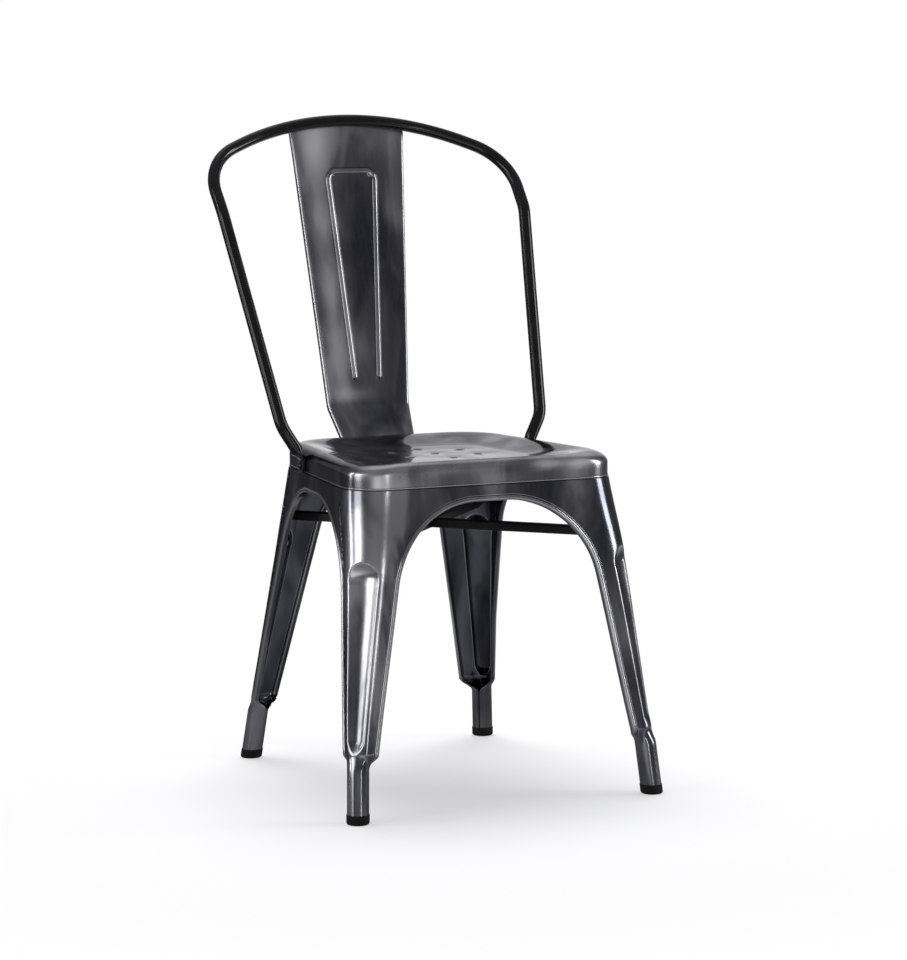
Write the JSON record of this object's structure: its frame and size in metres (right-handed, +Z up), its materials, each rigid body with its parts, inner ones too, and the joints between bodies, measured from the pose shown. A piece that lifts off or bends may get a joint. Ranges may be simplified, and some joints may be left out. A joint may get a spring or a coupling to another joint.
{
  "type": "metal bistro chair",
  "caption": "Stacking bistro chair of pressed and fluted sheet steel, with a dished seat, arched legs, a bent tube back and a central splat.",
  "frame": {"origin": "on the floor, in the middle of the overall footprint box", "axes": "+Z up, front of the seat towards -Y, sitter's left side towards +X when seated facing -Y"},
  "size_m": [0.4514, 0.512, 0.8506],
  "materials": {
    "gunmetal_steel": "clear lacquered raw steel, brushed and mottled, glossy",
    "black_tube": "gloss black",
    "black_brace": "satin black",
    "rubber_cap": "matte black"
  },
  "bodies": {
    "root": {"seat_pan": "gunmetal_steel", "back_splat": "gunmetal_steel", "back_hoop": "black_tube", "hoop_rivets": "black_tube", "brace_lower": "black_brace", "brace_upper": "black_brace", "leg_front_left": "gunmetal_steel", "foot_cap_front_left": "rubber_cap", "leg_front_right": "gunmetal_steel", "foot_cap_front_right": "rubber_cap", "leg_rear_left": "gunmetal_steel", "foot_cap_rear_left": "rubber_cap", "leg_rear_right": "gunmetal_steel", "foot_cap_rear_right": "rubber_cap"}
  },
  "joints": []
}
